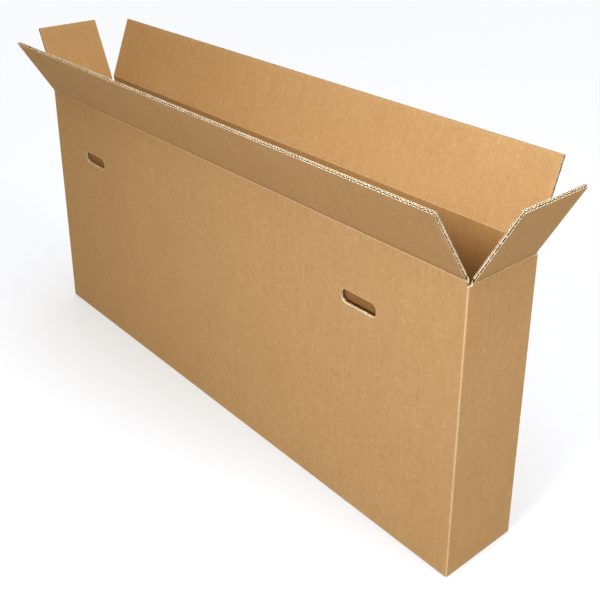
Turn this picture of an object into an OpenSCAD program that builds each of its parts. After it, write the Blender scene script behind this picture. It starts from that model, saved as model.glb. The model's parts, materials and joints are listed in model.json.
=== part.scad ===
// Long narrow open carton of double-wall corrugated board, with a full-overlap top and bottom.
// X runs along the carton, Y through its narrow depth, Z up; the origin is the middle of the base.

/* [Carton] */
// Outer length of the carton
body_l = 1400; // [250:5:2400]
// Outer depth of the carton, between the two large panels
body_w = 183; // [150:1:400]
// Height of the end panels up to their crease
end_h = 600; // [250:5:1200]
// Thickness of the double-wall board
board_t = 6.5; // [4:0.1:9]
// Outer radius of the four upright folds
corner_r = 4; // [1:0.5:6]
// Outer radius of the folds round the base
base_r = 3; // [0.5:0.5:5]

/* [Top flaps] */
// Length of the two end flaps, from crease to cut edge
end_flap_l = 172; // [90:1:190]
// Play left between two flaps that lie on each other, and beside an end flap
lap_gap = 0.5; // [0.3:0.1:2]
// Gap at each crease, so that wall and flap stay clear of each other
crease_gap = 0.4; // [0.2:0.1:0.8]
// Radius of the bead that the bent paper raises along each crease
bead_r = 1; // [0.4:0.1:1.6]
// Part of a corner slot that is cut from a large panel's flap
slot_large = 4; // [3.5:0.5:8]
// Part of a corner slot that is cut from an end panel's flap
slot_end = 9; // [9:0.5:20]
// Depth of a corner slot past the end crease
slot_drop = 2; // [1:0.5:6]
// Lean of the front flap, outwards from upright
front_angle = 32; // [20:1:80]
// Lean of the back flap, outwards from upright
back_angle = 20.4; // [10:0.1:80]
// Lean of the right end flap, outwards from upright
right_angle = 29; // [20:1:80]
// Lean of the left end flap, outwards from upright
left_angle = 25.8; // [20:0.1:80]

/* [Corrugation] */
// Distance between the flutes of the outer, coarse layer; it is fitted to the width of a flap
coarse_pitch = 9.2; // [7:0.1:12]
// Distance between the flutes of the inner, fine layer; it is fitted to the width of a flap
fine_pitch = 7; // [5:0.1:9]
// Thickness of the paper facings, and of the paper between the two layers of flutes
liner_t = 0.6; // [0.3:0.1:0.8]
// Paper left between two neighbouring flutes
flute_web = 0.8; // [0.5:0.1:2]
// Share of the space between the papers that the coarse layer takes
coarse_share = 0.58; // [0.4:0.01:0.7]
// Strip beside a crease where the flutes are crushed shut
crush_l = 10; // [8:1:30]

/* [Hand holes] */
// Length of a hand hole
grip_l = 90; // [60:1:130]
// Height of a hand hole
grip_h = 28; // [20:1:40]
// Radius of a hand hole's corners
grip_r = 12; // [4:0.5:14]
// Height of the hand holes' middle above the base
grip_z = 465; // [120:1:520]
// Distance between the middles of the two hand holes of a panel
grip_pitch = 958; // [140:1:1100]
// Offset of both hand holes towards the left end
grip_offset = 24; // [0:1:40]
// Gap round the push-in tab of a hand hole
grip_gap = 2.2; // [2:0.1:3]
// How far each tab is pushed in, as an angle from its wall
grip_angle = 15; // [4:1:20]
// Depth of the scored line that a tab hangs from
grip_groove = 0.6; // [0.4:0.1:2]

/* [Base and joint] */
// Length of the two short base flaps
base_flap_l = 172; // [60:1:190]
// Strip along the back edge that the outer base flap leaves uncovered
base_strip = 13; // [10:0.5:30]
// Seam between the ends of the long base flaps and the end panels
base_seam = 1; // [0.5:0.1:3]
// Width of the glued tab that closes the tube, inside the back left corner
tab_w = 40; // [25:1:60]
// Thickness of the pressed glued tab
tab_t = 4; // [2:0.1:6]
// Taper of the tab's two ends
tab_taper = 12; // [2:1:30]
// Distance of the tab's ends from the end crease and from the base flaps
tab_margin = 20; // [8:1:60]

/* [Hidden] */
kraft = "#c69c6d";

// Each flap folds over the one before it, so creases and flap lengths step by one board
lap_step = board_t + lap_gap;
front_h = end_h + lap_step;
back_h = end_h + 2 * lap_step;
front_flap_l = end_flap_l - lap_step;
back_flap_l = end_flap_l - 2 * lap_step;

large_w = body_l - 2 * slot_large;
end_w = body_w - 2 * slot_end;
inner_l = body_l - 2 * board_t;
inner_w = body_w - 2 * board_t;
mitre_foot = end_h - board_t;
floor_z = 3 * board_t;
cut = 1;

// Sides of a full circle, and of a full circle on the small tabs
round_fn = 16;
tab_fn = 12;

// Heights of the two layers of flutes, between the three papers
flute_space = board_t - 3 * liner_t;
coarse_h = coarse_share * flute_space;
fine_h = flute_space - coarse_h;

// A rectangle centred on the origin, with its corners rounded to radius r
module rounded_rect(l, w, r, fn = round_fn) {
    square([l - 2 * r, w], center = true);
    square([l, w - 2 * r], center = true);
    for (x = [-1, 1], y = [-1, 1])
        translate([x * (l / 2 - r), y * (w / 2 - r)])
            circle(r, $fn = fn);
}

// A panel pair seen along its faces: w wide and h high, with both corners of the foot rounded to r
module footed_section(w, h, r) {
    translate([-w / 2, r])
        square([w, h - r]);
    translate([-w / 2 + r, 0])
        square([w - 2 * r, h]);
    for (x = [-1, 1])
        translate([x * (w / 2 - r), r])
            circle(r, $fn = round_fn);
}

// The folded tube: rounded upright folds, and rounded folds round the base
module tube() {
    difference() {
        intersection() {
            linear_extrude(mitre_foot)
                rounded_rect(body_l, body_w, corner_r);
            rotate([90, 0, 0])
                linear_extrude(body_w + 2 * cut, center = true)
                    footed_section(body_l, mitre_foot, base_r);
            rotate([90, 0, 90])
                linear_extrude(body_l + 2 * cut, center = true)
                    footed_section(body_w, mitre_foot, base_r);
        }
        translate([-inner_l / 2, -inner_w / 2, -cut])
            cube([inner_l, inner_w, end_h]);
    }
}

// Section of a board that ends in a crease at the origin: x runs inwards from its outer face, and the
// board hangs h down from there, its end mitred down to the inside
module mitred_section(h) {
    polygon([
        [0, -h],
        [0, 0],
        [board_t, -board_t],
        [board_t, -h]
    ]);
}

// Top strip of a wall, along X with its outer face on y = 0, and the bead that its flap turns about
module crease_lip(l, crease_z) {
    translate([0, 0, crease_z])
        rotate([90, 0, 90])
            linear_extrude(l, center = true) {
                mitred_section(crease_z - mitre_foot + cut);
                circle(bead_r, $fn = round_fn);
            }
}

// Footprint of the corner that the slots leave between an end panel and a large panel
module corner_column(low, high) {
    for (x = [0, 1], y = [0, 1])
        mirror([x, 0, 0])
            mirror([0, y, 0])
                translate([body_l / 2 - board_t, body_w / 2 - slot_end, low])
                    cube([board_t + cut, slot_end + cut, high - low]);
}

// The corners stand up to the bottoms of the slots, just below the end crease
module corner_posts() {
    intersection() {
        linear_extrude(end_h)
            rounded_rect(body_l, body_w, corner_r);
        corner_column(mitre_foot - cut, end_h - slot_drop);
    }
}

// The three layers of the closed base: short flaps inside, then the back flap, then the front flap
module base_layers() {
    long_l = inner_l - 2 * base_seam;
    long_w = body_w - base_strip - board_t / 2;
    translate([-long_l / 2, -body_w / 2 + board_t / 2, 0])
        cube([long_l, long_w, board_t]);
    translate([-inner_l / 2 - cut, body_w / 2 - board_t / 2 - long_w, board_t])
        cube([inner_l + 2 * cut, long_w, board_t]);
    for (side = [0, 1])
        mirror([side, 0, 0])
            translate([body_l / 2 - base_flap_l, -end_w / 2, 2 * board_t])
                cube([base_flap_l - board_t / 2, end_w, board_t]);
}

// What the back wall leaves open at its foot, because it folds in one board above the front wall
module back_step() {
    translate([0, body_w / 2, 0])
        rotate([90, 0, 90])
            linear_extrude(large_w, center = true)
                difference() {
                    translate([-base_strip, -cut])
                        square([base_strip + cut, cut + board_t + base_r]);
                    translate([-base_strip - cut, board_t + base_r])
                        square([base_strip + 3 * cut, base_r]);
                    translate([-base_strip - cut, board_t])
                        square([base_strip + cut - base_r, 2 * base_r]);
                    translate([-base_r, board_t + base_r])
                        circle(base_r, $fn = round_fn);
                }
}

// One hand hole through a wall whose outer face is y = 0
module grip_hole() {
    translate([0, board_t + cut, 0])
        rotate([90, 0, 0])
            linear_extrude(board_t + 2 * cut)
                rounded_rect(grip_l, grip_h, grip_r);
}

// The push-in tab that hangs from a scored line along the upper edge of a hand hole, in a wall whose
// outer face is y = 0
module grip_tab() {
    neck_l = grip_l - 2 * grip_r - 2 * grip_gap;
    translate([0, grip_groove, grip_h / 2])
        rotate([grip_angle, 0, 0])
            translate([0, board_t, -grip_h / 2])
                rotate([90, 0, 0])
                    linear_extrude(board_t) {
                        rounded_rect(grip_l - 2 * grip_gap, grip_h - 2 * grip_gap,
                            grip_r - grip_gap, tab_fn);
                        translate([-neck_l / 2, 0])
                            square([neck_l, grip_h / 2 + cut]);
                    }
}

// Whatever stands at the four hand holes, turned so that its outer face looks out of the carton
module at_grips() {
    for (x = [-1, 1], back = [0, 1])
        translate([x * grip_pitch / 2 - grip_offset, 0, grip_z])
            mirror([0, back, 0])
                translate([0, -body_w / 2, 0])
                    children();
}

// The tab of the left end panel that is glued to the inside of the back panel
module glued_tab() {
    low = floor_z + tab_margin;
    high = mitre_foot - tab_margin;
    translate([-inner_l / 2, inner_w / 2 + cut, 0])
        rotate([90, 0, 0])
            linear_extrude(tab_t + cut)
                polygon([
                    [-cut, low],
                    [tab_w, low + tab_taper],
                    [tab_w, high - tab_taper],
                    [-cut, high]
                ]);
}

module carton() {
    color(kraft) {
        difference() {
            union() {
                tube();
                base_layers();
                glued_tab();
                corner_posts();
                translate([0, -body_w / 2, 0])
                    crease_lip(large_w, front_h);
                translate([0, body_w / 2, 0])
                    mirror([0, 1, 0])
                        crease_lip(large_w, back_h);
                for (side = [0, 1])
                    mirror([side, 0, 0])
                        translate([body_l / 2, 0, 0])
                            rotate(90)
                                crease_lip(end_w, end_h);
            }
            back_step();
            corner_column(-cut, slot_drop);
            at_grips()
                grip_hole();
        }
        at_grips()
            grip_tab();
    }
}

// Hollows of one layer of flutes, w wide and h high, from the facing at y = low inwards: their broad
// sides lie on that facing, or on the far one, and the outermost two are cut open by the board's ends
module flute_hollows(w, flute_pitch, low, h, broad_side_near) {
    count = round(w / flute_pitch);
    pitch = w / count;
    half = (pitch - flute_web) / 2;
    for (i = [0 : count])
        translate([i * pitch - w / 2, low])
            polygon(broad_side_near
                ? [[-half, 0], [half, 0], [0, h]]
                : [[-half, h], [0, 0], [half, h]]);
}

// Cut across the board of a flap w wide, with its outer face on y = 0
module board_section(w) {
    difference() {
        translate([-w / 2, 0])
            square([w, board_t]);
        flute_hollows(w, coarse_pitch, liner_t, coarse_h, true);
        flute_hollows(w, fine_pitch, 2 * liner_t + coarse_h, fine_h, false);
    }
}

// A flap w wide and l long on a crease along X, leaning outwards to -Y; its flutes start past the
// strip that is crushed shut, and its root is mitred and hollowed to clear the lip and the bead
module flap(w, l, angle) {
    rotate([angle, 0, 0]) {
        translate([0, 0, crush_l])
            linear_extrude(l - crush_l)
                board_section(w);
        mirror([0, 0, 1])
            rotate([90, 0, 90])
                linear_extrude(w, center = true)
                    difference() {
                        translate([0, -crease_gap])
                            mitred_section(crush_l - crease_gap);
                        circle(bead_r + crease_gap, $fn = round_fn);
                    }
    }
}

module front_flap() {
    color(kraft)
    translate([0, -body_w / 2, front_h])
        flap(large_w, front_flap_l, front_angle);
}

module back_flap() {
    color(kraft)
    translate([0, body_w / 2, back_h])
        rotate(180)
            flap(large_w, back_flap_l, back_angle);
}

module left_flap() {
    color(kraft)
    translate([-body_l / 2, 0, end_h])
        rotate(-90)
            flap(end_w - 2 * lap_gap, end_flap_l, left_angle);
}

module right_flap() {
    color(kraft)
    translate([body_l / 2, 0, end_h])
        rotate(90)
            flap(end_w - 2 * lap_gap, end_flap_l, right_angle);
}

carton();
front_flap();
back_flap();
left_flap();
right_flap();
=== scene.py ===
# Long open carton of kraft corrugated board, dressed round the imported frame.
# Every paper of the open flaps is its own flat or wavy shell, so the cut edges show real flutes.
import json
import math

import bpy
import numpy as np
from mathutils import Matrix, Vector


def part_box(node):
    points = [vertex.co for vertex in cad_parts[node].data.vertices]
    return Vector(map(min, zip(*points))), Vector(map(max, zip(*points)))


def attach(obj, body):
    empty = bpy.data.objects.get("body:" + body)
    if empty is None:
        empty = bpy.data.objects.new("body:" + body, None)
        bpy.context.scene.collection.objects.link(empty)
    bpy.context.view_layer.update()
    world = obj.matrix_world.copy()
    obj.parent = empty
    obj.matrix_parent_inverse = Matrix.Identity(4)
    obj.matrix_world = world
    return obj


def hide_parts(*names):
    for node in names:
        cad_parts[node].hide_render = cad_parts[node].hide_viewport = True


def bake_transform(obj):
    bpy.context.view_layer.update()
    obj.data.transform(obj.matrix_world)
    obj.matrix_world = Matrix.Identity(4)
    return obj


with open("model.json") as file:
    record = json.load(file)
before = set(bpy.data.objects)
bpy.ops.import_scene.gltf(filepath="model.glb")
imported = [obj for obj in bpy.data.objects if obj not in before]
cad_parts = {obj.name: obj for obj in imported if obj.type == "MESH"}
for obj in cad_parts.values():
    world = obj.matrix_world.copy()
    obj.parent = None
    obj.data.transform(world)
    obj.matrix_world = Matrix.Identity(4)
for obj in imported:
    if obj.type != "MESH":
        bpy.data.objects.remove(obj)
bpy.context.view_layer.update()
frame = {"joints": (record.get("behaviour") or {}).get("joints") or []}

# The board, in metres: three flat papers with a coarse and a fine layer of flutes between them
board = {
    "thickness": 0.0065,
    "liner": 0.00055,  # flat papers
    "medium": 0.00062,  # fluted papers, as the knife spreads them at a cut
    "coarseShare": 0.58,  # of the space between the flat papers
    "coarsePitch": 0.0092,
    "finePitch": 0.007,
    "gap": 0.0004,  # left at every crease
    "bead": 0.001,  # radius of the bead along a crease
    "shave": 0.0007,  # off each side edge of a flap, so that it passes its neighbours
}
fluteSpace = board["thickness"] - 3 * board["liner"]
coarseHeight = board["coarseShare"] * fluteSpace

# The two layers of flutes. tear is how paper torn by the knife covers them: mean reach, swing and period
layers = [
    {
        "depth": board["liner"],
        "height": coarseHeight,
        "pitch": board["coarsePitch"],
        "phase": 0.9,
        "tear": (-0.2, 0.55, 0.0083),
    },
    {
        "depth": 2 * board["liner"] + coarseHeight,
        "height": fluteSpace - coarseHeight,
        "pitch": board["finePitch"],
        "phase": 2.1,
        "tear": (0.55, 0.70, 0.0061),
    },
]

up = np.array([0.0, 0.0, 1.0])
joints = {joint["child"]: np.array(joint["pos_m"], float) for joint in frame["joints"]}
bodyLength = 2 * abs(joints["right_flap"][0])
bodyWidth = 2 * abs(joints["back_flap"][1])

# The four walls, counterclockwise from above. lean is the flap's rest angle, in degrees outwards from
# upright, and slot is how far from the carton's corner the lip under a flap ends
walls = {
    "front": {"along": (1, 0, 0), "inward": (0, 1, 0), "lean": 32.0, "flapLength": 0.165, "slot": 0.004},
    "right": {"along": (0, 1, 0), "inward": (-1, 0, 0), "lean": 29.0, "flapLength": 0.172, "slot": 0.009},
    "back": {"along": (-1, 0, 0), "inward": (0, -1, 0), "lean": 20.4, "flapLength": 0.158, "slot": 0.004},
    "left": {"along": (0, -1, 0), "inward": (1, 0, 0), "lean": 25.8, "flapLength": 0.172, "slot": 0.009},
}
startOfWall = 0.0
for side, wall in walls.items():
    wall["isLong"] = side in ("front", "back")
    wall["along"] = np.array(wall["along"], float)
    wall["inward"] = np.array(wall["inward"], float)
    wall["hinge"] = joints[side + "_flap"]
    wall["foot"] = wall["hinge"] * [1, 1, 0]  # straight below the hinge
    wall["width"] = bodyLength if wall["isLong"] else bodyWidth
    wall["middle"] = startOfWall + wall["width"] / 2  # distance round the carton to the wall's middle
    wall["flapWidth"] = 2 * (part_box(side + "_flap")[1][0 if wall["isLong"] else 1] - board["shave"])
    startOfWall += wall["width"]


# A point in a wall's own directions: a start, plus so far along the wall, inwards from its face, and up
def fromWall(wall, start, along, inward, rise):
    along, inward, rise = np.broadcast_arrays(along, inward, rise)
    flat = along[..., None] * wall["along"] + inward[..., None] * wall["inward"]
    return start + flat + rise[..., None] * up


# Meshes from arrays

# Sum of sines: size * sin(2 pi position / period + phase) for each (size, period, phase)
def waves(position, *terms):
    return sum(size * np.sin(2 * np.pi * position / period + phase) for size, period, phase in terms)


# From 0 to 1 while the value goes from 0 to the width, and level beyond
def ramp(value, width):
    return np.clip(value / width, 0, 1)


# Quads between neighbours of a grid of point numbers: (i, j), (i, j+1), (i+1, j+1), (i+1, j)
def gridQuads(index, wrapRows=False, wrapColumns=False):
    if wrapRows:
        index = np.concatenate([index, index[:1]])
    if wrapColumns:
        index = np.concatenate([index, index[:, :1]], 1)
    return np.stack([index[:-1, :-1], index[:-1, 1:], index[1:, 1:], index[1:, :-1]], -1)


# A closed sheet of paper: the outer grid, the inner grid turned round, and a rim of quads between their
# edges. Rows of the grids go up and columns go along, so that along x up points out of the outer face. slots
# are the materials of the outer face, the inner face and the rim.
def closedSheet(outer, inner, uv, slots=(0, 0, 1), wear=0.0):
    rows, columns = outer.shape[:2]
    count = rows * columns
    index = np.arange(count).reshape(rows, columns)
    front = gridQuads(index).reshape(-1, 4)
    back = front[:, ::-1] + count
    loop = np.concatenate([index[0, :-1], index[:-1, -1], index[-1, :0:-1], index[:0:-1, 0]])
    after = np.roll(loop, -1)
    rim = np.stack([after, loop, loop + count, after + count], -1)
    return {
        "points": np.concatenate([outer.reshape(-1, 3), inner.reshape(-1, 3)]),
        "quads": np.concatenate([front, back, rim]),
        "slots": np.repeat(slots, [len(front), len(back), len(rim)]),
        "uv": np.tile(np.broadcast_to(uv, (rows, columns, 2)).reshape(-1, 2), (2, 1)),
        "wear": np.tile(np.broadcast_to(wear, (rows, columns)).reshape(-1), 2),
    }


sharpAngle = 35.0  # in degrees, past which an edge of a piece is shaded as a sharp one


# One object from several shells: their arrays follow each other, with the point numbers moved on
def makePiece(name, shells, materials, body=None, node=None):
    starts = np.cumsum([0] + [len(shell["points"]) for shell in shells])
    quads = np.concatenate([shell["quads"] + start for shell, start in zip(shells, starts)])
    points, slots, uv, wear = (
        np.concatenate([shell[key] for shell in shells]) for key in ("points", "slots", "uv", "wear")
    )
    mesh = bpy.data.meshes.new(name)
    mesh.vertices.add(len(points))
    mesh.vertices.foreach_set("co", points.astype(np.float32).ravel())
    mesh.loops.add(quads.size)
    mesh.loops.foreach_set("vertex_index", quads.astype(np.int32).ravel())
    mesh.polygons.add(len(quads))
    mesh.polygons.foreach_set("loop_start", np.arange(0, quads.size, 4, dtype=np.int32))
    mesh.polygons.foreach_set("material_index", slots.astype(np.int32))
    mesh.polygons.foreach_set("use_smooth", np.ones(len(quads), bool))
    mesh.update(calc_edges=True)
    uvMap = mesh.uv_layers.new(name="board")
    uvMap.data.foreach_set("uv", uv[quads.ravel()].astype(np.float32).ravel())
    wearValues = mesh.attributes.new("wear", "FLOAT", "POINT")
    wearValues.data.foreach_set("value", wear.astype(np.float32))
    mesh.set_sharp_from_angle(angle=math.radians(sharpAngle))
    for material in materials:
        mesh.materials.append(material)
    piece = bpy.data.objects.new(name, mesh)
    bpy.context.scene.collection.objects.link(piece)
    if body:
        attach(piece, body)
    if node:
        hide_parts(node)
    print(name, len(points), "points", len(quads), "quads")
    return piece


# Shader graphs written as expressions

# A socket that can be used in sums: each operator adds the Math node that works it out
class Signal:
    def __init__(self, graph, socket):
        self.graph, self.socket = graph, socket

    def combine(self, operation, left, right):
        return self.graph.node("ShaderNodeMath", {"operation": operation}, {0: left, 1: right})

    def __add__(self, other):
        return self.combine("ADD", self, other)

    def __sub__(self, other):
        return self.combine("SUBTRACT", self, other)

    def __rsub__(self, other):
        return self.combine("SUBTRACT", other, self)

    def __mul__(self, other):
        return self.combine("MULTIPLY", self, other)

    def __pow__(self, other):
        return self.combine("POWER", self, other)

    __radd__ = __add__
    __rmul__ = __mul__


# A tree of shader nodes, all made by one method that takes their type, settings and inputs
class Graph:
    def __init__(self, tree):
        self.tree = tree

    def node(self, kind, settings, inputs, output=0):
        made = self.tree.nodes.new(kind)
        for key, value in settings.items():
            setattr(made, key, value)
        for key, value in inputs.items():
            self.feed(made.inputs[key], value)
        return Signal(self, made.outputs[output])

    def feed(self, socket, value):
        if isinstance(value, Signal):
            self.tree.links.new(value.socket, socket)
        else:
            socket.default_value = value

    # Noise from 0 to 1, with stretch as the scale along each coordinate
    def noise(self, place, scale=1.0, detail=2.0, roughness=0.5, stretch=None):
        if stretch:
            inputs = {"Vector": place, "Scale": stretch}
            place = self.node("ShaderNodeMapping", {"vector_type": "POINT"}, inputs)
        inputs = {"Vector": place, "Scale": scale, "Detail": detail, "Roughness": roughness}
        return self.node("ShaderNodeTexNoise", {}, inputs)

    # Value taken from low..high to the range clampTo, clamped, with soft ends
    def band(self, value, low, high, clampTo=(0.0, 1.0)):
        least, most = clampTo
        inputs = {"Value": value, "From Min": low, "From Max": high, "To Min": least, "To Max": most}
        return self.node("ShaderNodeMapRange", {"interpolation_type": "SMOOTHSTEP"}, inputs)

    # Colour from A at factor 0 to B at factor 1
    def mix(self, factor, colorA, colorB):
        settings = {"data_type": "RGBA", "blend_type": "MIX", "clamp_factor": True}
        return self.node("ShaderNodeMix", settings, {0: factor, 6: colorA, 7: colorB}, 2)

    # Feeds the Principled shader, with a bump where a height is given
    def surface(self, color, roughness, specular=0.5, height=None):
        shader = self.tree.nodes["Principled BSDF"]
        self.feed(shader.inputs["Base Color"], color)
        self.feed(shader.inputs["Roughness"], roughness)
        shader.inputs["Specular IOR Level"].default_value = specular
        if height is not None:
            bump = self.node("ShaderNodeBump", {}, {"Strength": 1.0, "Distance": 1.0, "Height": height})
            self.feed(shader.inputs["Normal"], bump)


# A new material and the graph of its nodes
def newMaterial(name):
    material = bpy.data.materials.new(name)
    material.use_nodes = True
    return material, Graph(material.node_tree)


kraftLook = {
    "base": (0.390, 0.270, 0.172, 1),
    "dark": (0.328, 0.213, 0.127, 1),
    "light": (0.459, 0.331, 0.227, 1),
    # Pale tone of worn folds and corners: partly real wear, partly a painted highlight along creases and
    # corners
    "worn": (0.555, 0.443, 0.351, 1),
    # Noises: a scale fills space, and a stretch follows the sheet, along it and up it
    "noises": {
        "clouds": {"scale": 6.0, "detail": 4.0, "roughness": 0.6},
        "mottle": {"scale": 75.0, "detail": 2.0, "roughness": 0.6},
        "pulp": {"scale": 210.0, "detail": 3.0, "roughness": 0.75},
        "fibres": {"stretch": (120.0, 700.0, 1.0), "detail": 3.0, "roughness": 0.6},
        "streaks": {"stretch": (190.0, 9.0, 1.0), "detail": 2.0, "roughness": 0.5},
        "flecks": {"stretch": (420.0, 1500.0, 1.0), "detail": 1.0, "roughness": 0.5},
    },
    "tone": {"clouds": 0.3, "mottle": 0.55, "pulp": 1.2, "fibres": 0.55, "streaks": 0.5},  # their weights
    "toneSpan": 0.5,  # tone at which the paper is wholly light, or below zero wholly dark
    "fleckSpan": (0.70, 0.78),
    "fleckStrength": 0.35,
    "wearSpan": (0.25, 0.7),  # of the pulp, over which wear goes from its least to its most strength
    "wearStrength": (0.45, 0.9),
    "fluteDepth": 0.00005,  # how far the flutes print through the paper
    "fluteWander": 3.0,  # of the printed flutes' phase
    "fluteSpan": (0.3, 0.7),  # of the streaks, over which the flutes start to print
    "grainDepth": 0.00004,
    "roughness": 0.82,
    "roughnessSpread": 0.12,
    "specular": 0.4,
}
tabShadeShares = (0.63, 0.56, 0.48, 1)  # of the kraft's colours: painted shade on the push-in tabs, which sit back in the hand holes
cutLook = {"pale": (0.73, 0.66, 0.58, 1), "brown": (0.54, 0.45, 0.37, 1), "roughness": 0.9}
# Painted shade: the fluted papers, and the flat papers' faces toward them, are near black where the real
# paper is brown, standing in for the shade in the flute hollows
flutingShadeLook = {"pale": (0.045, 0.030, 0.018, 1), "brown": (0.025, 0.016, 0.009, 1), "roughness": 0.95}
edgeLook = {
    "pulp": {"scale": 420.0, "detail": 3.0, "roughness": 0.7},
    "patches": {"scale": 60.0, "detail": 2.0, "roughness": 0.5},
    "patchWeight": 0.6,
    "brownSpan": (0.35, 0.75),  # of the pulp, from pale to brown
    "grainDepth": 0.0001,
    "roughnessSpread": 0.1,
    "specular": 0.2,
}


# Kraft facing. Its tone is a weighted sum of clouds, pulp and fibres along the sheet, which takes the colour
# to light above zero and to dark below it. Flecks darken it, folds and corners are pale with wear and a
# painted highlight, and the coarse flutes print through as a sine along the sheet whose phase the clouds
# shift.
def kraftPaper(name, look):
    material, graph = newMaterial(name)
    place = graph.node("ShaderNodeTexCoord", {}, {}, "Object")
    sheet = graph.node("ShaderNodeUVMap", {"uv_map": "board"}, {})
    worn = graph.node("ShaderNodeAttribute", {"attribute_name": "wear"}, {}, "Fac")
    noises = {
        kind: graph.noise(sheet if "stretch" in settings else place, **settings)
        for kind, settings in look["noises"].items()
    }
    pulp = noises["pulp"]
    tone = sum((noises[kind] - 0.5) * weight for kind, weight in look["tone"].items())
    flecks = graph.band(noises["flecks"], *look["fleckSpan"]) * look["fleckStrength"]
    shade = graph.mix(graph.band(tone, 0.0, look["toneSpan"]), look["base"], look["light"])
    shade = graph.mix(graph.band(tone, 0.0, -look["toneSpan"]), shade, look["dark"])
    shade = graph.mix(flecks, shade, look["dark"])
    shade = graph.mix(worn * graph.band(pulp, *look["wearSpan"], look["wearStrength"]), shade, look["worn"])
    along = graph.node("ShaderNodeSeparateXYZ", {}, {"Vector": sheet}, "X")
    turn = along * (2 * math.pi / board["coarsePitch"]) + noises["clouds"] * look["fluteWander"]
    prints = graph.node("ShaderNodeMath", {"operation": "SINE"}, {0: turn})
    height = prints * graph.band(noises["streaks"], *look["fluteSpan"]) * look["fluteDepth"]
    height = height + (pulp + noises["fibres"]) * look["grainDepth"]
    roughness = look["roughness"] + (pulp - 0.5) * look["roughnessSpread"]
    graph.surface(shade, roughness, look["specular"], height)
    return material


# Cut or raw paper: pale pulp with brown fibres in it, more of them in some patches
def paperEdge(name, pale, brown, roughness):
    material, graph = newMaterial(name)
    place = graph.node("ShaderNodeTexCoord", {}, {}, "Object")
    pulp = graph.noise(place, **edgeLook["pulp"])
    patches = graph.noise(place, **edgeLook["patches"])
    share = graph.band(pulp + (patches - 0.5) * edgeLook["patchWeight"], *edgeLook["brownSpan"])
    shade = graph.mix(share, pale, brown)
    roughness = roughness + (pulp - 0.5) * edgeLook["roughnessSpread"]
    graph.surface(shade, roughness, edgeLook["specular"], pulp * edgeLook["grainDepth"])
    return material


# Painted shade: the push-in tabs get the kraft darkened by these shares, standing in for the shade in the
# hand holes
tabShadeTones = {
    tone: tuple(np.multiply(kraftLook[tone], tabShadeShares)) for tone in ("base", "dark", "light", "worn")
}
kraft = kraftPaper("kraftPaper", kraftLook)
tabShadeKraft = kraftPaper("handledPaper", {**kraftLook, **tabShadeTones})
cutEdge = paperEdge("cutEdge", **cutLook)
flutingShade = paperEdge("flutingPaper", **flutingShadeLook)
print("materials done")


# Flaps

flapLook = {
    "rows": 14,
    "columnStep": 0.012,
    "leastColumns": 12,
    "bow": 0.00012,  # a flap isn't quite flat
    "bowPower": 1.6,  # with which the bow grows from the crease
    "crush": 0.010,  # beside the crease the flutes are crushed shut
    "crushRows": 3,
    "valley": 0.0022,  # where the outer paper starts, past the crease
    "samples": 12,  # points along one flute
    "fluteRows": 4,
    "fluteShort": 0.0002,  # how far the flutes end below the flap's upper edge
    "tearStep": 0.0016,
    "tearColumns": 3,
    "tearDepth": 0.0005,
    "tearLeast": 0.06,  # share of a flute that torn paper always covers
    "wear": 0.1,  # along the cut edges
    "wearWidth": 0.004,
}


# A point of a flap: depth and height in the flap, turned outwards round the hinge by the lean
def onFlap(wall, along, depth, height):
    cosine, sine = math.cos(math.radians(wall["lean"])), math.sin(math.radians(wall["lean"]))
    inward = depth * cosine - height * sine
    rise = depth * sine + height * cosine
    return fromWall(wall, wall["hinge"], along, inward, rise)


# How far a flap bows inwards: slow waves along it that grow from nothing at the crease
def flapBow(wall, along, height):
    crush, phase = flapLook["crush"], wall["middle"] * 7
    grow = ramp(height - crush, wall["flapLength"] - crush) ** flapLook["bowPower"]
    terms = [(1.0, wall["flapWidth"] * 1.35, phase), (0.35, 0.31, phase * 2), (0.12, 0.083, phase * 3)]
    return flapLook["bow"] * grow * waves(along, *terms)


# One paper of a flap between its outer and its inner depth, each from its own foot up to the shared top.
# Depths and the top may vary along the flap, and the pattern follows the inner heights.
def flapSheet(wall, along, depths, feet, top, rows, slots, wear=0.0):
    step = np.linspace(0, 1, rows)[:, None]
    grids = []
    for depth, foot in zip(depths, feet):
        height = foot + (top - foot) * step
        grids.append(onFlap(wall, along, depth + flapBow(wall, along, height), height))
    uv = np.stack(np.broadcast_arrays(wall["middle"] + along, wall["hinge"][2] + height), -1)
    return closedSheet(*grids, uv, slots, wear)


# Wave from -1 to 1 with a whole number of flutes on the flap, whose phase wanders a little
def fluteWave(along, half, count, phase):
    wander = waves(along, (0.5, 0.137, phase), (0.3, 0.059, phase * 2), (0.25, 0.021, phase * 5))
    return np.sin(2 * np.pi * count * (along + half) / (2 * half) + wander + phase)


# Paper that the knife drags over an open flute along a side edge, end -1 or 1. How far it reaches over the
# flute varies in waves up the edge, so the open stretches show as dark dashes of painted shade, from
# near-black fluting.
def tornStrip(wall, end, layer):
    mean, swing, period = layer["tear"]
    half = wall["flapWidth"] / 2
    heights = np.arange(flapLook["crush"], wall["flapLength"], flapLook["tearStep"])[:, None]
    phase = end + wall["middle"] * 5
    terms = [
        (swing, period, phase),
        (swing * 0.5, period * 0.61, 2 * phase),
        (swing * 0.4, period * 2.3, phase),
    ]
    reach = np.clip(mean + waves(heights, *terms), flapLook["tearLeast"], 1.0)
    depth = layer["depth"] + layer["height"] * reach * np.linspace(0, 1, flapLook["tearColumns"])[None, :]
    grids = [
        onFlap(wall, along, depth + flapBow(wall, along, heights), heights)
        for along in (half * end, (half - flapLook["tearDepth"]) * end)
    ]
    if end < 0:
        grids = [grid[:, ::-1] for grid in grids]
    return closedSheet(*grids, np.zeros((1, 1, 2)), (1, 2, 1))


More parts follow.
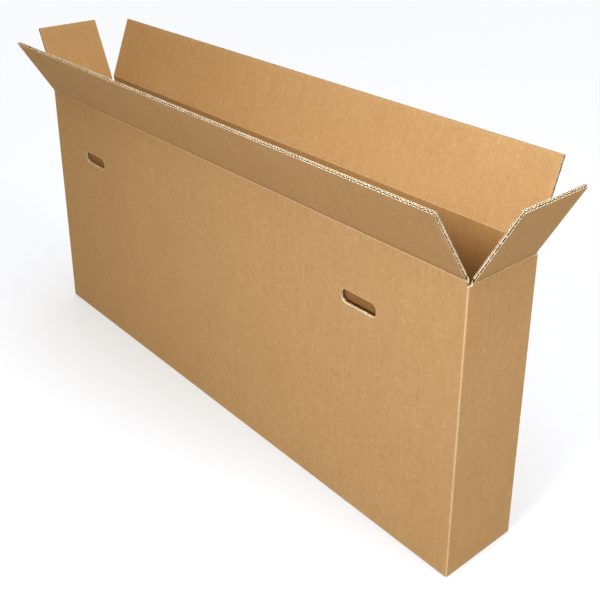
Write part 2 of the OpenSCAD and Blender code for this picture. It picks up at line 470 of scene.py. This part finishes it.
# A flap: its three flat papers, the crushed strip of each layer at the crease, the two waves of fluting
# between the papers, and torn strips up both side edges
def makeFlap(side):
    wall = walls[side]
    liner, medium, gap, crush = board["liner"], board["medium"], board["gap"], flapLook["crush"]
    half, length, rows = wall["flapWidth"] / 2, wall["flapLength"], flapLook["rows"]
    columns = max(flapLook["leastColumns"], int(2 * half / flapLook["columnStep"]))
    along = np.linspace(-half, half, columns)[None, :]
    wear = flapLook["wear"] * (1 - ramp(half - np.abs(along), flapLook["wearWidth"])) * np.ones((rows, 1))
    wear[-1] = flapLook["wear"]
    shells = []
    # Outer, middle and inner papers, with painted shade, the near-black fluting material, where they face
    # the flutes
    papers = (0.0, layers[1]["depth"] - liner, board["thickness"] - liner)
    for depth, slots in zip(papers, ((0, 2, 1), (2, 2, 1), (2, 0, 1))):
        feet = (flapLook["valley"] if depth == 0 else depth + gap, depth + liner + gap)
        shells.append(flapSheet(wall, along, (depth, depth + liner), feet, length, rows, slots, wear))
    for layer in layers:
        depths = (layer["depth"], layer["depth"] + layer["height"])
        feet = (depths[0] + gap, depths[1] + gap)
        shells.append(flapSheet(wall, along, depths, feet, crush, flapLook["crushRows"], (2, 2, 2)))
    for layer in layers:
        phase = layer["phase"]
        count = round(2 * half / layer["pitch"])
        dense = np.linspace(-half, half, count * flapLook["samples"] + 1)[None, :]
        wave = fluteWave(dense, half, count, phase + wall["middle"])
        middle = layer["depth"] + layer["height"] / 2 + wave * (layer["height"] - medium) / 2
        depths = (middle - medium / 2, middle + medium / 2)
        ragged = waves(dense, (0.00015, 0.047, phase), (0.0001, 0.013, phase))
        top = length - flapLook["fluteShort"] + ragged
        shells.append(flapSheet(wall, dense, depths, (crush, crush), top, flapLook["fluteRows"], (2, 2, 1)))
    for end in (-1, 1):
        for layer in layers:
            shells.append(tornStrip(wall, end, layer))
    makePiece(side + "FlapBoard", shells, [kraft, cutEdge, flutingShade], side + "_flap", side + "_flap")


for side in walls:
    makeFlap(side)
print("flaps done")


# Creases

foldLook = {
    # sharpness is the corner's weight in the curve, and ridge the height of the bead along the fold. The end
    # flaps' folds are pressed grooves, which the closed long flaps clear
    "long": {"sharpness": 3.0, "ridge": 0.0004, "columns": 120},
    "end": {"sharpness": -0.35, "ridge": 0.0, "columns": 24},
    "ridgeWidth": 0.10,
    "core": 0.22,  # where the filling starts, as a share of the way from the hinge
    "steps": 22,
    "wear": 0.4,
    "wearWidth": 0.15,
}


# Inner paper of a fold: a conic from the wall's inner edge to the flap's, with its corner where their inner
# faces would meet, swelled by a low ridge along its middle and by a slow wobble along the crease. The board
# under it fills the way to the hinge.
def makeFold(side):
    wall = walls[side]
    shape = foldLook["long" if wall["isLong"] else "end"]
    thick, lean, half = board["thickness"], math.radians(wall["lean"]), wall["flapWidth"] / 2
    turned = np.array([[math.cos(lean), -math.sin(lean)], [math.sin(lean), math.cos(lean)]])
    start = np.array([thick, -thick])
    corner = np.array([thick, thick * math.tan(lean / 2)])
    end = turned @ [thick, thick + board["gap"]]
    s = np.linspace(0, 1, foldLook["steps"])[:, None]
    weights = np.concatenate([(1 - s) ** 2, 2 * shape["sharpness"] * s * (1 - s), s ** 2], 1)
    curve = weights @ np.array([start, corner, end]) / weights.sum(1, keepdims=True)
    curve = curve * (1 + shape["ridge"] / thick * np.exp(-((s - 0.5) / foldLook["ridgeWidth"]) ** 2))
    along = np.linspace(-half, half, shape["columns"])[None, :]
    wobble = waves(along, (0.012, 0.21, half), (0.01, 0.067, 1), (0.006, 0.023, 2)) * np.sin(np.pi * s)
    grids = [
        fromWall(wall, wall["hinge"], along, curve[:, :1] * swell, curve[:, 1:] * swell)
        for swell in (foldLook["core"] + 0 * wobble, 1 + wobble)
    ]
    uv = np.stack(np.broadcast_arrays(wall["middle"] + along, wall["hinge"][2] + curve[:, 1:]), -1)
    # The bead of the fold gets the pale tone: partly wear, partly a painted highlight
    wear = foldLook["wear"] * np.exp(-((s - 0.5) / foldLook["wearWidth"]) ** 2)
    piece = makePiece(side + "Fold", [closedSheet(*grids, uv, (0, 0, 1), wear)], [kraft, cutEdge])
    wallEdge, flapEdge = (fromWall(wall, wall["hinge"], 0.0, *place) for place in (start, end))
    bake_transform(piece)


for side in walls:
    makeFold(side)
print("folds done")


# The tube of the four walls

tubeLook = {
    "cornerRadius": 0.004,
    "innerRadius": 0.001,
    "draw": 0.03,  # length over which inner columns draw in to the inner corner, where the slot is short
    "cornerSteps": 6,
    "wornTurn": 0.5,  # radians to each side of a corner's middle that get the pale tone of wear and painted highlight
    "closeColumns": (0.0, 0.002, 0.005, 0.010, 0.02, 0.04),  # distances from a corner's start
    "farColumns": 0.07,  # from a corner's start, where even columns begin
    "farSlack": 0.01,  # how far past that the last of them may stand
    "columnStep": 0.045,
    "lipStep": 0.00002,  # between the two columns where a lip ends
    "lowRows": (0.008, 0.014, 0.022, 0.04, 0.07, 0.11, 0.16, 0.21, 0.26, 0.31, 0.36, 0.40, 0.43),
    "highRows": (0.50, 0.52, 0.54, 0.56, 0.575, 0.585),
    "closeRows": (0.009, 0.005, 0.003, 0.0018),  # distances under the fold
    "footRadius": 0.003,
    "footSteps": 4,
    "slotDrop": 0.002,  # depth of the corner slots past the folds
    "postRound": 0.0004,
    "beadSteps": 12,
    "beadSweep": (-90, -405),  # in degrees, from straight under its middle round to the lip's inner side
    "bow": {"front": 0.0014, "right": 0.0006, "back": 0.0012, "left": 0.0006},
    "bowPower": 0.8,  # of the arch up a wall
    "bowMean": 0.75,  # about which the slow waves swing
    # Strengths of the pale tone: real wear, and on corners and beads also a painted highlight
    "wear": {"corner": 0.7, "bead": 0.8, "foot": 0.3, "cut": 0.5},
    "innerWear": 0.15,  # share of a corner's wear that shows inside
    "footWearRise": 0.002,  # up to which a foot is wholly worn
    "footWearFade": 0.003,
}
gripLook = {
    "length": 0.090,
    "height": 0.028,
    "radius": 0.012,
    "level": 0.465,
    "pitch": 0.958,
    "offset": 0.024,  # towards the left end
    "margin": 0.007,  # of finer cells round the hole
    "cell": 0.0016,
    "clear": 0.004,  # between the finer cells and the wall's own columns
    "faceRings": 3,
    "cutRings": 16,
    "recess": 0.0030,  # how far the cut sinks between the papers
    "crushed": 0.0030,  # depth to which the knife presses the cut shut
    "paperSoft": 0.0003,  # over which the cut sinks beside a flat paper
    "crushSoft": 0.0004,
    "fluteSpread": 0.9,  # half width of a flute's paper, in thicknesses of it
    "nicksAbove": 0.9,  # height of the waves above which the crushed part is nicked
    "openAbove": 0.4,  # share of the recess past which the cut gets painted shade inside
}
gripPlaces = {
    "front": [sign * gripLook["pitch"] / 2 - gripLook["offset"] for sign in (-1, 1)],
    "back": [sign * gripLook["pitch"] / 2 + gripLook["offset"] for sign in (-1, 1)],
}
window = (gripLook["length"] / 2 + gripLook["margin"], gripLook["height"] / 2 + gripLook["margin"])
windowCells = [round(2 * size / gripLook["cell"]) for size in window]
gripRows = gripLook["level"] + np.linspace(-window[1], window[1], windowCells[1] + 1)
rowLevels = np.concatenate([tubeLook["lowRows"], gripRows, tubeLook["highRows"]])


# How far a wall bows outwards: one arch across it and one up it, with slow waves
def wallBow(side, along, level):
    wall = walls[side]
    across = np.cos(np.pi * np.clip(along / wall["width"], -0.5, 0.5))
    rise = np.sin(np.pi * ramp(level, wall["hinge"][2])) ** tubeLook["bowPower"]
    slow = waves(along, (0.25, 0.47, wall["middle"])) + waves(level, (0.12, 0.23, wall["middle"]))
    return tubeLook["bow"][side] * across * rise * (tubeLook["bowMean"] + slow)


# Places along a wall's flat part: close near its corners and across hand holes, with a pair where the lip
# ends, and even elsewhere
def wallStations(side):
    wall = walls[side]
    edge = wall["width"] / 2 - tubeLook["cornerRadius"]
    lip = wall["width"] / 2 - wall["slot"]
    near = edge - np.array(tubeLook["closeColumns"])
    pair = [lip - tubeLook["lipStep"], tubeLook["lipStep"] - lip]
    far = edge - tubeLook["farColumns"]
    even = np.arange(-far, far + tubeLook["farSlack"], tubeLook["columnStep"])
    stops = np.concatenate([near, -near, pair, even])
    if wall["slot"] > tubeLook["cornerRadius"]:
        stops = np.concatenate([stops, [lip, -lip]])
    for middle in gripPlaces.get(side, []):
        stops = stops[np.abs(stops - middle) > window[0] + gripLook["clear"]]
        stops = np.concatenate([stops, middle + np.linspace(-window[0], window[0], windowCells[0] + 1)])
    return np.unique(np.round(stops, 6))


# The tube's columns in order round the carton: each wall's stations, then the steps of an arc round its
# corner. A column has its place along the wall, its points on the outer and inner faces at the foot, and
# whether it ends in a lip or is worn. Inner points draw in to the inner corner.
def tubeColumns():
    thick, radius, innerRadius = board["thickness"], tubeLook["cornerRadius"], tubeLook["innerRadius"]
    turn = np.linspace(0, np.pi / 2, tubeLook["cornerSteps"] + 1)[1:-1]
    worn = np.abs(turn - np.pi / 4) < tubeLook["wornTurn"]
    parts = []
    for side, wall in walls.items():
        reach = wall["width"] / 2
        pivot, innerPivot = reach - radius, reach - thick - innerRadius
        straight = reach - (wall["slot"] if wall["slot"] > radius else tubeLook["draw"])
        stations = wallStations(side)
        place = np.append(stations, np.full(len(turn), reach))
        outerStops = [-pivot, -straight, straight, pivot]
        near = np.interp(stations, outerStops, [-innerPivot, -straight, straight, innerPivot])
        outerAlong = np.append(stations, pivot + radius * np.sin(turn))
        innerAlong = np.append(near, innerPivot + innerRadius * np.sin(turn))
        rounding = np.append(np.zeros(len(stations)), 1 - np.cos(turn))
        parts.append({
            "side": np.full(len(place), side),
            "place": place,
            "outer": fromWall(wall, wall["foot"], outerAlong, radius * rounding, 0.0),
            "inner": fromWall(wall, wall["foot"], innerAlong, thick + innerRadius * rounding, 0.0),
            "outward": np.tile(-wall["inward"], (len(place), 1)),
            "crease": np.full(len(place), wall["hinge"][2]),
            "lip": np.abs(place) < reach - wall["slot"] - tubeLook["lipStep"] / 2,
            "worn": np.append(np.zeros(len(stations), bool), worn),
        })
    return {key: np.concatenate([part[key] for part in parts]) for key in parts[0]}


# Profile of every column, as depth from the outer face and level: the rounded foot, the rows of the outer
# face, the bead round the lip's edge or the post's rounded edge, and the rows of the inner face back down
def tubeProfile(columns):
    thick, bead, postRound = board["thickness"], board["bead"], tubeLook["postRound"]
    lips, crease = columns["lip"], columns["crease"]
    postTop = walls["right"]["hinge"][2] - tubeLook["slotDrop"]
    foot = np.where(lips, np.where(columns["side"] == "back", thick, 0.0), tubeLook["slotDrop"])
    footRadius = np.where(lips, tubeLook["footRadius"], postRound)
    footTurn = np.linspace(0, np.pi / 2, tubeLook["footSteps"] + 1)[:, None]
    postTurn = np.linspace(0, np.pi / 2, tubeLook["beadSteps"] + 1)[:, None]
    swing = np.radians(np.linspace(*tubeLook["beadSweep"], tubeLook["beadSteps"] + 1))[:, None]
    rowLevel = np.repeat(rowLevels[:, None], len(lips), 1)
    closeLevel = np.where(lips, crease, postTop) - np.array(tubeLook["closeRows"])[:, None]
    topDepth = np.where(lips, bead * np.cos(swing), postRound * (1 - np.cos(postTurn)))
    topLevel = np.where(lips, crease + bead * np.sin(swing), postTop - postRound * (1 - np.sin(postTurn)))
    innerTop = np.where(lips, crease - thick, postTop)
    innerLevel = np.concatenate([innerTop[None, :], rowLevel[::-1], foot[None, :]])
    outerLevel = np.concatenate([foot + footRadius * (1 - np.cos(footTurn)), rowLevel, closeLevel])
    outerDepth = np.concatenate([footRadius * (1 - np.sin(footTurn)), 0 * rowLevel, 0 * closeLevel])
    depth = np.concatenate([outerDepth, topDepth, np.full(innerLevel.shape, thick)])
    return depth, np.concatenate([outerLevel, topLevel, innerLevel])


# How far a hand hole's cut sinks between the papers: deep wherever neither a flat paper nor a flute's wave
# is near, and only nicked where the knife has crushed it shut
def gripRecess(x, z, depth, phase):
    medium, soft = board["medium"], gripLook["paperSoft"]
    recess = 0.0
    for layer in layers:
        low, height = layer["depth"], layer["height"]
        wave = low + height / 2 + np.sin(2 * np.pi * (x + phase) / layer["pitch"]) * (height - medium) / 2
        inLayer = ramp(depth - low, soft) * ramp(low + height - depth, soft)
        recess = recess + inLayer * (1 - np.exp(-((depth - wave) / (gripLook["fluteSpread"] * medium)) ** 2))
    uncrushed = ramp(depth - gripLook["crushed"], gripLook["crushSoft"])
    ragged = waves(x + 2 * z, (0.7, 0.0079, phase), (0.5, 0.0047, 2), (0.5, 0.0193, 1))
    nicks = ramp(ragged - gripLook["nicksAbove"], 1.0) * ramp(depth, gripLook["crushSoft"])
    return gripLook["recess"] * np.maximum(recess * uncrushed, nicks * (1 - uncrushed))


# A hand hole: rings of points that start inside the window's edge on the outer face, close in on the cut's
# outline, go through the wall and open out again on the inner face. across and rise give the window's edge
# from the hole's middle.
def makeHandHole(side, middle, across, rise):
    wall, thick = walls[side], board["thickness"]
    halfX, halfZ, radius = gripLook["length"] / 2, gripLook["height"] / 2, gripLook["radius"]
    # The outline is the window's edge shrunk to the hole, with its corners drawn onto arcs
    x, z = across * halfX / window[0], rise * halfZ / window[1]
    straightX = np.clip(x, radius - halfX, halfX - radius)
    straightZ = np.clip(z, radius - halfZ, halfZ - radius)
    offX, offZ = x - straightX, z - straightZ
    away = np.hypot(offX, offZ) + 1e-9
    stretch = np.where((offX != 0) & (offZ != 0), radius / away, 1.0)
    x, z = straightX + offX * stretch, straightZ + offZ * stretch
    outX = np.where(np.abs(z) >= halfZ - 1e-6, 0, offX / away)
    outZ = np.where(np.abs(x) >= halfX - 1e-6, 0, offZ / away)
    # Each ring's share of the way from the window's edge to the outline, and its depth in the wall
    face = np.linspace(0, 1, gripLook["faceRings"] + 1)[1:]
    through = np.linspace(0, 1, gripLook["cutRings"] + 1)[1:-1]
    share = np.concatenate([face, np.ones(len(through)), face[::-1]])[:, None]
    depth = thick * np.concatenate([np.zeros(len(face)), through, np.ones(len(face))])[:, None]
    recess = gripRecess(x, z, depth, middle)
    along = middle + across * (1 - share) + x * share + outX * recess
    level = gripLook["level"] + rise * (1 - share) + z * share + outZ * recess
    points = fromWall(wall, wall["foot"], along, depth - wallBow(side, along, level), level)
    # A quad of the cut gets painted shade, the near-black fluting material, where its four points sink far
    # enough in the mean
    sunk = np.pad(recess, ((1, 1), (0, 0)))
    sunk = sunk[:-1] + sunk[1:]
    sunk = (sunk + np.roll(sunk, -1, 1)) / 4
    slots = np.where(sunk > gripLook["openAbove"] * gripLook["recess"], 2, 1)
    slots[:gripLook["faceRings"]] = slots[gripLook["faceRings"] + gripLook["cutRings"]:] = 0
    wear = np.where((share == 1) & (recess < 1e-5), tubeLook["wear"]["cut"], 0.0)
    return {
        "points": points.reshape(-1, 3),
        "slots": slots.ravel(),
        "uv": np.stack([wall["middle"] + along, level], -1).reshape(-1, 2),
        "wear": wear.ravel(),
    }


# Columns and rows met on the way round a window's edge: along its foot, up its right side, and back
def windowLoop(right, top):
    columns = [np.arange(right), np.full(top, right), np.arange(right, 0, -1), np.zeros(top, int)]
    rows = [np.zeros(right, int), np.arange(top), np.full(right, top), np.arange(top, 0, -1)]
    return np.concatenate(columns), np.concatenate(rows)


# The tube as one closed grid: rows follow the columns' profile, which wraps round from the inner face to the
# foot, and columns go round the carton. At each hand hole a window of both faces gives way to the rings.
def makeTube():
    columns = tubeColumns()
    depth, level = tubeProfile(columns)
    lips, places, sides = columns["lip"], columns["place"], columns["side"]
    share = (depth / board["thickness"])[..., None]
    bow = np.zeros_like(depth)
    distance = np.zeros_like(places)
    for side, wall in walls.items():
        mine = sides == side
        bow[:, mine] = wallBow(side, places[mine], level[:, mine])
        distance[mine] = wall["middle"] + places[mine]
    points = columns["outer"] * (1 - share) + columns["inner"] * share
    points = points + level[..., None] * up + bow[..., None] * columns["outward"]
    uv = np.stack(np.broadcast_arrays(distance, level), -1)

    # Pale tone on the rounded corners, less inside, along the foot and along the bead: real wear, and on the
    # corners and the bead also a painted highlight
    beadStart = tubeLook["footSteps"] + 1 + len(rowLevels) + len(tubeLook["closeRows"])
    beadRows = slice(beadStart, beadStart + tubeLook["beadSteps"] + 1)
    strength = tubeLook["wear"]
    inside = np.where(depth < board["thickness"] / 2, 1.0, tubeLook["innerWear"])
    wear = inside * np.where(columns["worn"], strength["corner"], 0.0)
    lowWear = np.exp(-np.maximum(level - tubeLook["footWearRise"], 0) / tubeLook["footWearFade"])
    wear = np.maximum(wear, strength["foot"] * lowWear)
    wear[beadRows] = np.maximum(wear[beadRows], strength["bead"])

    # The posts' upper ends are cut paper, and their flat tops show open flutes between the papers as
    # alternate quads of painted shade
    index = np.arange(depth.size).reshape(depth.shape)
    quads = gridQuads(index, True, True)
    slots = np.zeros(quads.shape[:2], int)
    slots[beadRows] = np.where(lips & np.roll(lips, -1), 0, 1)
    slots[beadRows.stop - 1] = np.where(lips, 1, 1 + np.arange(len(lips)) % 2)

    # Hand holes, whose rings join the edges of the windows on the outer and the inner face
    keep = np.ones(quads.shape[:2], bool)
    outerRows = tubeLook["footSteps"] + 1 + len(tubeLook["lowRows"]) + np.arange(len(gripRows))
    innerRows = len(depth) - 2 - len(tubeLook["lowRows"]) - np.arange(len(gripRows))
    holes = []
    total = depth.size
    for side, middle in [(side, middle) for side, middles in gripPlaces.items() for middle in middles]:
        near = np.abs(places - middle) < window[0] + gripLook["clear"] / 2
        chosen = np.flatnonzero((sides == side) & near)
        keep[outerRows[0]:outerRows[-1], chosen[0]:chosen[-1]] = False
        keep[innerRows[-1]:innerRows[0], chosen[0]:chosen[-1]] = False
        column, row = windowLoop(len(chosen) - 1, len(gripRows) - 1)
        column = chosen[column]
        hole = makeHandHole(side, middle, places[column] - middle, gripRows[row] - gripLook["level"])
        first, last = index[outerRows[row], column], index[innerRows[row], column]
        rings = total + np.arange(len(hole["points"])).reshape(-1, len(row))
        total += rings.size
        rings = np.concatenate([first[None, :], rings, last[None, :]])
        hole["quads"] = gridQuads(rings, False, True).reshape(-1, 4)
        holes.append(hole)
    grid = {
        "points": points.reshape(-1, 3),
        "quads": quads[keep],
        "slots": slots[keep],
        "uv": uv.reshape(-1, 2),
        "wear": wear.ravel(),
    }
    tube = {key: np.concatenate([grid[key]] + [hole[key] for hole in holes]) for key in grid}
    used, numbers = np.unique(tube["quads"], return_inverse=True)  # the windows' inner points drop out
    tube["quads"] = numbers.reshape(-1, 4)
    for key in ("points", "uv", "wear"):
        tube[key] = tube[key][used]
    return tube


gripTabLook = {
    "push": 15.0,  # how far the tab is pushed in, in degrees
    "gap": 0.0022,  # to the hole's outline
    "trim": 0.0010,  # left off each side
    "neck": (0, 0.0006, 0.0014),  # rows of the straight upper end, down from the scored line
    "rows": 21,
    "columns": 49,
    "groove": 0.0006,  # depth of the scored line that the tab hangs from
    "sunk": 0.0014,  # how far the tab's board is crushed
    "sunkReach": 0.0012,
    "ragged": 0.0002,  # swing of the lower edge
    "raggedFrom": 0.02,  # down from the scored line
    "raggedReach": 0.005,
}


# A push-in tab: a board whose half width follows the hole's rounded outline less the gap, with its upper end
# as wide as the outline's straight part. It hangs from the hole's upper edge and leans inwards.
def makeGripTab(side, middle):
    wall, look = walls[side], gripTabLook
    gap, push = look["gap"], math.radians(look["push"])
    radius, bottom = gripLook["radius"] - gap, gripLook["height"] - gap
    straight = gripLook["length"] / 2 - gripLook["radius"] - look["trim"]
    eased = (1 - np.cos(np.linspace(0, np.pi, look["rows"]))) / 2
    down = np.concatenate([look["neck"], gap + (bottom - gap) * eased])[:, None]
    rise = np.clip(radius - np.minimum(down - gap, bottom - down), 0, radius)
    half = straight + np.where(down > gap, np.sqrt(np.maximum(radius ** 2 - rise ** 2, 0)), 0.0)
    across = half * np.linspace(-1, 1, look["columns"])[None, :]
    ragged = look["ragged"] * waves(across, (1, 0.0113, middle), (0.6, 0.0051, 1))
    down = down + ragged * ramp(down - look["raggedFrom"], look["raggedReach"])
    crushed = look["sunk"] * (1 - np.exp(-down / look["sunkReach"]))
    hanging = gripLook["level"] + gripLook["height"] / 2
    grids = []
    for depth in (crushed, np.full(down.shape, board["thickness"])):
        inward = look["groove"] + depth * math.cos(push) + down * math.sin(push)
        level = hanging + depth * math.sin(push) - down * math.cos(push)
        grids.append(fromWall(wall, wall["foot"], middle + across, inward, level)[::-1])
    uv = np.stack([wall["middle"] + middle + across, gripLook["level"] - down], -1)[::-1]
    return closedSheet(*grids, uv)


# Base and glued tab

baseLook = {
    "flapLength": 0.172,
    "strip": 0.013,  # left uncovered along the back
    "seam": 0.001,
    "inset": 0.0002,
    "lift": 0.0002,  # of the inner long flap's middle
    "endLift": 0.0004,  # of the end flaps' middles
    "columnStep": 0.04,
    "leastColumns": 3,
    "rows": 8,
    "wear": 0.4,
}
gluedTabLook = {
    "width": 0.040,
    "thickness": 0.004,
    "taper": 0.012,
    "margin": 0.020,
    "pressed": 0.35,  # share of the thickness that its free edge loses
    "pressedFrom": 0.75,  # of its width
    "behind": 0.0001,  # how far it goes into the wall that it is glued to
    "rows": 24,
    "columns": 9,
    "wear": 0.3,
    "wearFrom": 0.9,  # of its width
}


# A level board between two corners, whose top lifts in its middle by a product of two half sines
def flatBoard(low, high, bend=0.0):
    spanX, spanY = high[0] - low[0], high[1] - low[1]
    columns = max(baseLook["leastColumns"], int(spanX / baseLook["columnStep"]))
    x = np.linspace(low[0], high[0], columns)[None, :]
    y = np.linspace(low[1], high[1], baseLook["rows"])[:, None]
    x, y = np.broadcast_arrays(x, y)
    lift = bend * np.sin(np.pi * (x - low[0]) / spanX) * np.sin(np.pi * (y - low[1]) / spanY)
    top = np.stack([x, y, high[2] + lift], -1)
    under = np.stack([x, y, np.full_like(x, low[2])], -1)
    wear = np.zeros(x.shape)
    wear[:, 0] = wear[:, -1] = wear[0] = wear[-1] = baseLook["wear"]
    return closedSheet(top, under, np.stack([y, x], -1), (0, 0, 1), wear)


# The base from below: the outer long flap, the inner long flap, and an end flap at each end
def makeBase():
    thick, seam, inset, strip = board["thickness"], baseLook["seam"], baseLook["inset"], baseLook["strip"]
    halfX, halfY = bodyLength / 2 - thick, bodyWidth / 2
    outerCorners = (-halfX + seam, -halfY + thick, 0.0), (halfX - seam, halfY - strip, thick)
    innerCorners = (-halfX + inset, -halfY + strip, thick), (halfX - inset, halfY - thick, 2 * thick)
    shells = [flatBoard(*outerCorners), flatBoard(*innerCorners, baseLook["lift"])]
    reach = halfY - walls["right"]["slot"]
    for end in (-1, 1):
        x = sorted([end * (halfX - inset), end * (bodyLength / 2 - baseLook["flapLength"])])
        shells.append(flatBoard((x[0], -reach, 2 * thick), (x[1], reach, 3 * thick), baseLook["endLift"]))
    return shells


# The glued tab, with both ends tapered: its height shrinks along its width, and it thins at its free edge
def makeGluedTab():
    thick, look = board["thickness"], gluedTabLook
    share = np.linspace(0, 1, look["columns"])[None, :]
    low = 3 * thick + look["margin"] + look["taper"] * share
    high = walls["right"]["hinge"][2] - thick - look["margin"] - look["taper"] * share
    level = low + (high - low) * np.linspace(0, 1, look["rows"])[:, None]
    press = 1 - look["pressed"] * ramp(share - look["pressedFrom"], 1 - look["pressedFrom"]) ** 2
    face = bodyWidth / 2 - thick
    x = look["width"] * share - bodyLength / 2 + thick
    y = face - look["thickness"] * press
    x, y, level = np.broadcast_arrays(x, y, level)
    front = np.stack([x, y, level], -1)
    behind = np.stack([x, np.full_like(x, face + look["behind"]), level], -1)
    wear = np.where(share > look["wearFrom"], look["wear"], 0.0)
    return closedSheet(front, behind, np.stack([x, level], -1), (0, 0, 1), wear)


makePiece("cartonBoard", [makeTube()], [kraft, cutEdge, flutingShade], "carton", "carton")
gripTabs = [makeGripTab(side, middle) for side, middles in gripPlaces.items() for middle in middles]
makePiece("gripTabs", gripTabs, [tabShadeKraft, cutEdge], "carton")
makePiece("baseBoards", makeBase(), [kraft, cutEdge], "carton")
makePiece("gluedTab", [makeGluedTab()], [kraft, cutEdge], "carton")
print("carton done")


# Floor, lights and camera

floorLook = {
    "size": 160.0,
    "cells": 8,
    "drop": 0.0002,  # under the carton's base
    "color": (0.29, 0.298, 0.315, 1),
    "grain": {"scale": 30.0, "detail": 2.0, "roughness": 0.5},
    "grainShade": (0.985, 0.985, 0.985, 1),  # shares of the colour in the grain
    "roughness": 0.9,
    "roughnessSpread": 0.05,
    "glow": 0.47,
}
lightColor = (1.0, 0.99, 0.97)
lights = {
    "key": {"place": (0.8, -2.4, 2.4), "aim": (0.6, 0, 0.6), "size": 1.0, "power": 9.9, "spread": 60.0},
    "side": {"place": (3.6, -0.6, 1.8), "aim": (0.5, 0, 0.5), "size": 1.2, "power": 4.5, "spread": 70.0},
    "top": {"place": (3.0, 0.2, 3.4), "aim": (0.2, 0, 0.6), "size": 1.2, "power": 4.5, "spread": 50.0},
}
# Light of the air, by the height in the sky from 0 at the horizon to 1 overhead
airLook = {
    "color": (1.0, 0.995, 0.985, 1),
    "haze": 0.85,  # with the eighth power of what is left to the zenith
    "middle": 2.51,  # with the square of the height
    "top": 1.53,  # with the height's eighth power
}
filmLook = {
    "gamma": 0.8,
    "contrast": (1.0, 1.1, 1.28),  # powers of red, green and blue
    "levels": (0.125, 0.25, 0.5, 0.75),  # where the curves of those powers are set
}
cameraLook = {
    "eye": (1.5107, -1.1366, 1.3029),
    "azimuth": 49.376,
    "elevation": 22.319,
    "lens": 55.89,
    "sensor": 36.0,
    "shiftY": -0.19,
    "farthest": 60.0,
}


# The paper sweep that the carton stands on: a wide level grid, a hair under the base
def makeFloor():
    cells = floorLook["cells"]
    lines = np.linspace(-floorLook["size"] / 2, floorLook["size"] / 2, cells + 1)
    x, y, z = np.broadcast_arrays(lines[None, :], lines[:, None], -floorLook["drop"])
    quads = gridQuads(np.arange((cells + 1) ** 2).reshape(x.shape)).reshape(-1, 4)
    mesh = bpy.data.meshes.new("sweep")
    mesh.from_pydata(np.stack([x, y, z], -1).reshape(-1, 3).tolist(), [], quads.tolist())
    floor = bpy.data.objects.new("sweep", mesh)
    bpy.context.scene.collection.objects.link(floor)
    material, graph = newMaterial("sweepPaper")
    grain = graph.noise(graph.node("ShaderNodeTexCoord", {}, {}, "Object"), **floorLook["grain"])
    grainColor = tuple(np.multiply(floorLook["color"], floorLook["grainShade"]))
    shade = graph.mix(grain, floorLook["color"], grainColor)
    graph.surface(shade, floorLook["roughness"] + (grain - 0.5) * floorLook["roughnessSpread"])
    shader = graph.tree.nodes["Principled BSDF"]
    shader.inputs["Emission Color"].default_value = (1, 1, 1, 1)
    shader.inputs["Emission Strength"].default_value = floorLook["glow"]
    mesh.materials.append(material)


# A round soft light at its place, whose -Z is turned to its aim
def makeLight(name, look):
    light = bpy.data.lights.new(name + "Light", "AREA")
    light.shape = "DISK"
    light.size = look["size"]
    light.energy = look["power"]
    light.color = lightColor
    light.spread = math.radians(look["spread"])
    lamp = bpy.data.objects.new(name + "Light", light)
    lamp.location = look["place"]
    lamp.rotation_euler = (Vector(look["aim"]) - Vector(look["place"])).to_track_quat("-Z", "Y").to_euler()
    bpy.context.scene.collection.objects.link(lamp)


# Light from all round. With z as the height in the sky, its strength is
# haze * (1 - z) ** 8 + middle * z ** 2 + top * z ** 8
def makeAir():
    air = bpy.data.worlds.new("studioAir")
    air.use_nodes = True
    graph = Graph(air.node_tree)
    background = air.node_tree.nodes["Background"]
    background.inputs["Color"].default_value = airLook["color"]
    place = graph.node("ShaderNodeTexCoord", {}, {}, "Generated")
    rise = graph.node("ShaderNodeSeparateXYZ", {}, {"Vector": place}, "Z")
    z = graph.node("ShaderNodeMath", {"operation": "MAXIMUM"}, {0: rise, 1: 0.0})
    strength = z ** 2.0 * airLook["middle"] + z ** 8.0 * airLook["top"] + (1.0 - z) ** 8.0 * airLook["haze"]
    graph.feed(background.inputs["Strength"], strength)
    return air


# The camera, level from side to side. It looks along +Y turned counterclockwise by the azimuth, and down by
# the elevation
def makeCamera():
    camera = bpy.data.cameras.new("camera")
    camera.lens = cameraLook["lens"]
    camera.sensor_width = cameraLook["sensor"]
    camera.shift_y = cameraLook["shiftY"]
    camera.clip_end = cameraLook["farthest"]
    stand = bpy.data.objects.new("camera", camera)
    stand.location = cameraLook["eye"]
    tilt, turn = math.radians(90 - cameraLook["elevation"]), math.radians(cameraLook["azimuth"])
    stand.rotation_euler = (tilt, 0, turn)
    bpy.context.scene.collection.objects.link(stand)
    return stand


makeFloor()
for name, look in lights.items():
    makeLight(name, look)
scene = bpy.context.scene
scene.world = makeAir()
scene.camera = makeCamera()
film = scene.view_settings
film.view_transform = "Standard"
film.gamma = filmLook["gamma"]
film.use_curve_mapping = True
for curve, power in zip(film.curve_mapping.curves, filmLook["contrast"]):
    for level in filmLook["levels"]:
        curve.points.new(level, level ** power)
film.curve_mapping.update()
print("studio done")
